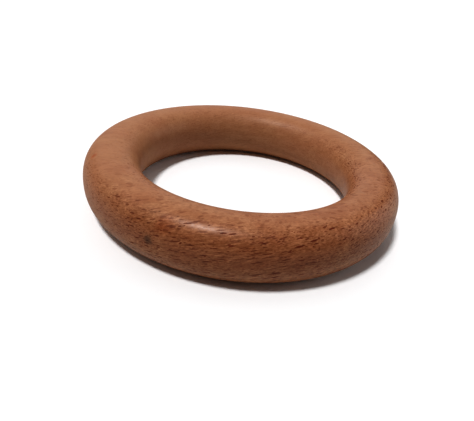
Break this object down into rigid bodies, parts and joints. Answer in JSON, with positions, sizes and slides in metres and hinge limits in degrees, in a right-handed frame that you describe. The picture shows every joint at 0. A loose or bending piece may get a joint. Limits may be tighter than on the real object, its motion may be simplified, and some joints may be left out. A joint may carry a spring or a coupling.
{
  "type": "wooden baby ring",
  "caption": "Plain closed beech ring with a rounded section, turned from solid wood, for a baby to grasp and chew, or as the grip of a rattle.",
  "frame": {"origin": "centre of the ring, on the plane it rests on", "axes": "+Z along the ring's axis, up from the face it rests on; X and Y lie in the plane of the ring"},
  "size_m": [0.07, 0.07, 0.012],
  "materials": {
    "beech": "satin"
  },
  "bodies": {
    "root": {"ring": "beech"}
  },
  "joints": []
}
